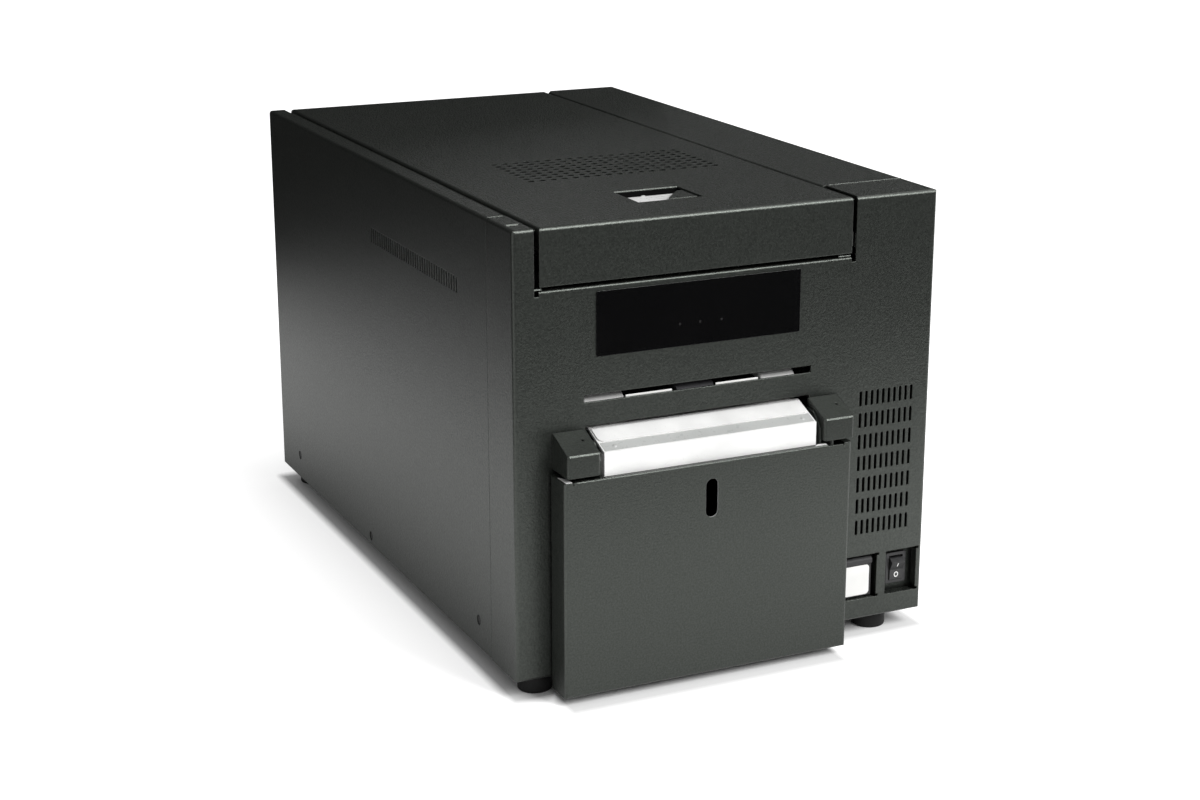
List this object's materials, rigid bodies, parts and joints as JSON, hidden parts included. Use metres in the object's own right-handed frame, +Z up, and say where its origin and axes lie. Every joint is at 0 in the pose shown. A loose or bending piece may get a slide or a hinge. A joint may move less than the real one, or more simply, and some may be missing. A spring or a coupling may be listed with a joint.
{
  "type": "card printer",
  "caption": "Desktop badge card printer: folded black steel cabinet with a rear-hinged latched lid, exit slot, side-hinged card hopper door, sliding card weight, rocker and release button.",
  "frame": {"origin": "on the supporting surface, under the middle of the whole printer with its hopper door", "axes": "+Z up, the front with the exit slot and hopper faces -Y, +X to the right seen from the front"},
  "size_m": [0.288, 0.492, 0.292],
  "materials": {
    "black_powder_coat": "satin black powder coat with a fine grain",
    "white_paint": "smooth satin white paint",
    "zinc_steel": "zinc-plated sheet",
    "casing_aluminium": "plain aluminium casing",
    "bright_steel": "ground steel",
    "screw_steel": "blackened steel",
    "latch_metal": "satin bright metal",
    "foot_rubber": "matt black rubber",
    "roller_rubber": "ground dark grey rubber",
    "cleaning_rubber": "smooth tacky roller",
    "belt_rubber": "matt black belt",
    "gloss_black": "gloss black film",
    "switch_plastic": "satin black plastic",
    "black_plastic": "fine matt black plastic",
    "white_plastic": "smooth white plastic",
    "motor_casing": "satin dark grey",
    "circuit_board": "green solder mask",
    "head_aluminium": "anodised aluminium",
    "ribbon_film": "gloss dye film"
  },
  "bodies": {
    "root": {"front_panel": "black_powder_coat", "left_panel": "black_powder_coat", "right_panel": "black_powder_coat", "rear_panel": "black_powder_coat", "base_tray": "black_powder_coat", "rubber_feet": "foot_rubber", "case_screws": "screw_steel", "display_overlay": "gloss_black", "indicator_board": "circuit_board", "guide_covers": "black_powder_coat", "hopper_guide": "black_powder_coat", "hopper_tray": "zinc_steel", "door_hinge_leaf": "black_powder_coat", "hinge_pins": "bright_steel", "switch_bracket": "black_powder_coat", "switch_housing": "switch_plastic", "left_frame": "zinc_steel", "right_frame": "zinc_steel", "tie_bars": "bright_steel", "card_deck": "black_powder_coat", "card_ramp": "zinc_steel", "ramp_belt": "belt_rubber", "shaft_bearings": "black_plastic", "transport_motor": "motor_casing", "drive_belts": "belt_rubber", "power_inlet": "black_plastic", "data_ports": "bright_steel", "main_board": "circuit_board", "power_supply": "casing_aluminium", "fan_frame": "black_plastic", "lid_hinge_brackets": "zinc_steel"},
    "door": {"hopper_door": "black_powder_coat", "door_strike": "zinc_steel"},
    "weight": {"card_weight": "white_paint", "weight_plate": "white_paint", "weight_rivets": "bright_steel"},
    "button": {"open_button": "black_plastic"},
    "rocker": {"power_rocker": "switch_plastic"},
    "lid": {"lid_panel": "black_powder_coat", "lid_stiffener": "zinc_steel", "latch_cup": "black_powder_coat", "head_carrier": "zinc_steel", "print_head": "head_aluminium"},
    "latch": {"latch_paddle": "latch_metal"},
    "platen": {"platen_roller": "roller_rubber", "platen_shaft": "bright_steel"},
    "exit": {"exit_roller": "roller_rubber", "exit_drums": "white_plastic", "exit_shaft": "bright_steel"},
    "pinch": {"pinch_roller": "roller_rubber"},
    "cleaner": {"cleaning_roller": "cleaning_rubber"},
    "rear_drive": {"rear_roller": "roller_rubber"},
    "feeder": {"feed_roller": "roller_rubber"},
    "ramp_low": {"ramp_lower_roller": "bright_steel"},
    "ramp_high": {"ramp_upper_roller": "bright_steel"},
    "supply": {"ribbon_supply": "ribbon_film"},
    "takeup": {"ribbon_takeup": "ribbon_film"},
    "fan": {"fan_rotor": "black_plastic"},
    "motor": {"motor_pulley": "bright_steel"}
  },
  "joints": [
    {"name": "lid_hinge", "type": "hinge", "parent": "root", "child": "lid", "pos_m": [-0.022, 0.24, 0.286], "axis": [-1, 0, 0], "range_deg": [0, 90]},
    {"name": "latch_lift", "type": "hinge", "parent": "lid", "child": "latch", "pos_m": [-0.02115, -0.175, 0.282], "axis": [1, 0, 0], "range_deg": [0, 28], "stiffness_Nm_per_rad": 0.12, "springref_deg": -8.59},
    {"name": "door_hinge", "type": "hinge", "parent": "root", "child": "door", "pos_m": [-0.1173, -0.2305, 0.082], "axis": [0, 0, -1], "range_deg": [0, 95]},
    {"name": "weight_slide", "type": "slide", "parent": "root", "child": "weight", "axis": [0, 0, 1], "range_m": [-0.088, 0]},
    {"name": "button_press", "type": "slide", "parent": "root", "child": "button", "axis": [0, 1, 0], "range_m": [0, 0.004], "stiffness_N_per_m": 400},
    {"name": "rocker_tilt", "type": "hinge", "parent": "root", "child": "rocker", "pos_m": [0.12815, -0.2146, 0.0409], "axis": [-1, 0, 0], "range_deg": [0, 24]},
    {"name": "platen_spin", "type": "hinge", "parent": "root", "child": "platen", "pos_m": [-0.0214, -0.074, 0.178], "axis": [1, 0, 0], "continuous": true},
    {"name": "exit_spin", "type": "hinge", "parent": "root", "child": "exit", "pos_m": [-0.0214, -0.21, 0.176], "axis": [1, 0, 0], "continuous": true},
    {"name": "pinch_spin", "type": "hinge", "parent": "root", "child": "pinch", "pos_m": [-0.0214, -0.21, 0.1925], "axis": [1, 0, 0], "continuous": true},
    {"name": "cleaner_spin", "type": "hinge", "parent": "root", "child": "cleaner", "pos_m": [-0.0214, 0.121, 0.1948], "axis": [1, 0, 0], "continuous": true},
    {"name": "rear_spin", "type": "hinge", "parent": "root", "child": "rear_drive", "pos_m": [-0.0214, 0.121, 0.178], "axis": [1, 0, 0], "continuous": true},
    {"name": "feed_spin", "type": "hinge", "parent": "root", "child": "feeder", "pos_m": [-0.0214, -0.185, 0.024], "axis": [1, 0, 0], "continuous": true},
    {"name": "ramp_low_spin", "type": "hinge", "parent": "root", "child": "ramp_low", "pos_m": [-0.0214, -0.11263, 0.03156], "axis": [1, 0, 0], "continuous": true},
    {"name": "ramp_high_spin", "type": "hinge", "parent": "root", "child": "ramp_high", "pos_m": [-0.0214, 0.09728, 0.16912], "axis": [1, 0, 0], "continuous": true},
    {"name": "motor_spin", "type": "hinge", "parent": "root", "child": "motor", "pos_m": [-0.0214, 0.011, 0.072], "axis": [1, 0, 0], "continuous": true},
    {"name": "supply_spin", "type": "hinge", "parent": "root", "child": "supply", "pos_m": [-0.0214, 0.008, 0.234], "axis": [1, 0, 0], "continuous": true},
    {"name": "takeup_spin", "type": "hinge", "parent": "root", "child": "takeup", "pos_m": [-0.0214, -0.142, 0.234], "axis": [1, 0, 0], "continuous": true},
    {"name": "fan_spin", "type": "hinge", "parent": "root", "child": "fan", "pos_m": [0.102, 0.232, 0.227], "axis": [0, 1, 0], "continuous": true}
  ],
  "couplings": [
    {"joint": "exit_spin", "follows": "platen_spin", "ratio": 1},
    {"joint": "pinch_spin", "follows": "platen_spin", "ratio": -1.7544},
    {"joint": "cleaner_spin", "follows": "platen_spin", "ratio": -1},
    {"joint": "rear_spin", "follows": "platen_spin", "ratio": 1},
    {"joint": "feed_spin", "follows": "platen_spin", "ratio": 1},
    {"joint": "ramp_low_spin", "follows": "platen_spin", "ratio": 1},
    {"joint": "ramp_high_spin", "follows": "platen_spin", "ratio": 1},
    {"joint": "motor_spin", "follows": "platen_spin", "ratio": 1}
  ]
}
